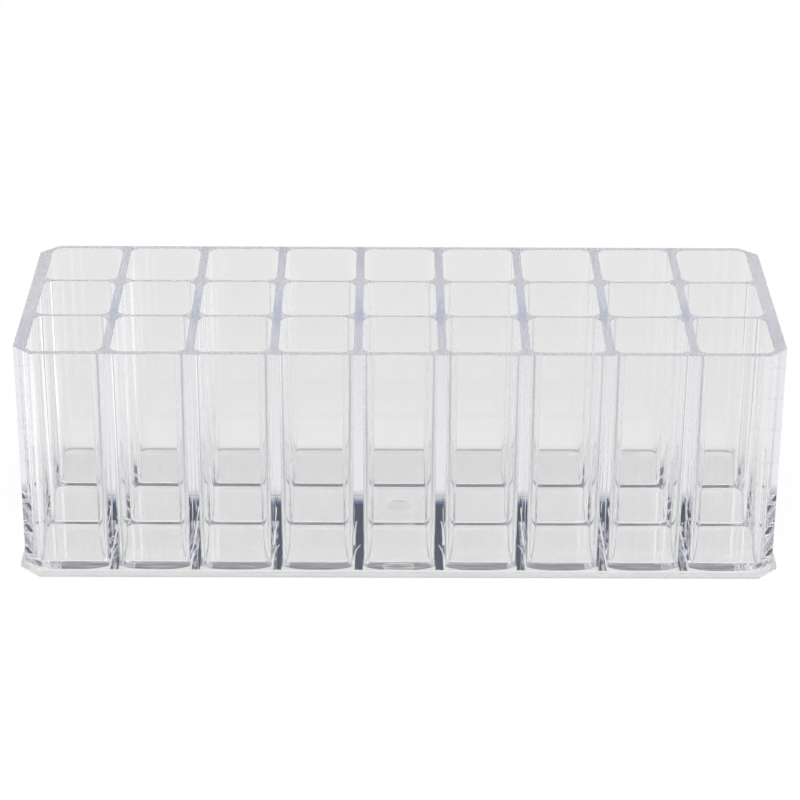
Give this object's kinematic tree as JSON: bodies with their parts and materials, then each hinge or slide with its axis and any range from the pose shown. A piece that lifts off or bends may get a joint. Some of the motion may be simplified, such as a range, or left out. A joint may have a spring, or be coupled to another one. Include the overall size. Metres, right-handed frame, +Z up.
{
  "type": "vanity organizer",
  "caption": "Clear desktop organizer for lipsticks: an open-topped block of upright cells with clipped corners on a flat flanged base plate.",
  "frame": {"origin": "on the table, under the middle of the base plate", "axes": "+X along the long side, +Y from the front to the back, +Z up out of the cells"},
  "size_m": [0.2368, 0.088, 0.0758],
  "materials": {
    "clear_plastic": "clear polystyrene, mould-polished",
    "clear_base": "clear polystyrene sheet moulding, mould-polished"
  },
  "bodies": {
    "root": {"cell_block": "clear_plastic", "base_plate": "clear_base"}
  },
  "joints": []
}
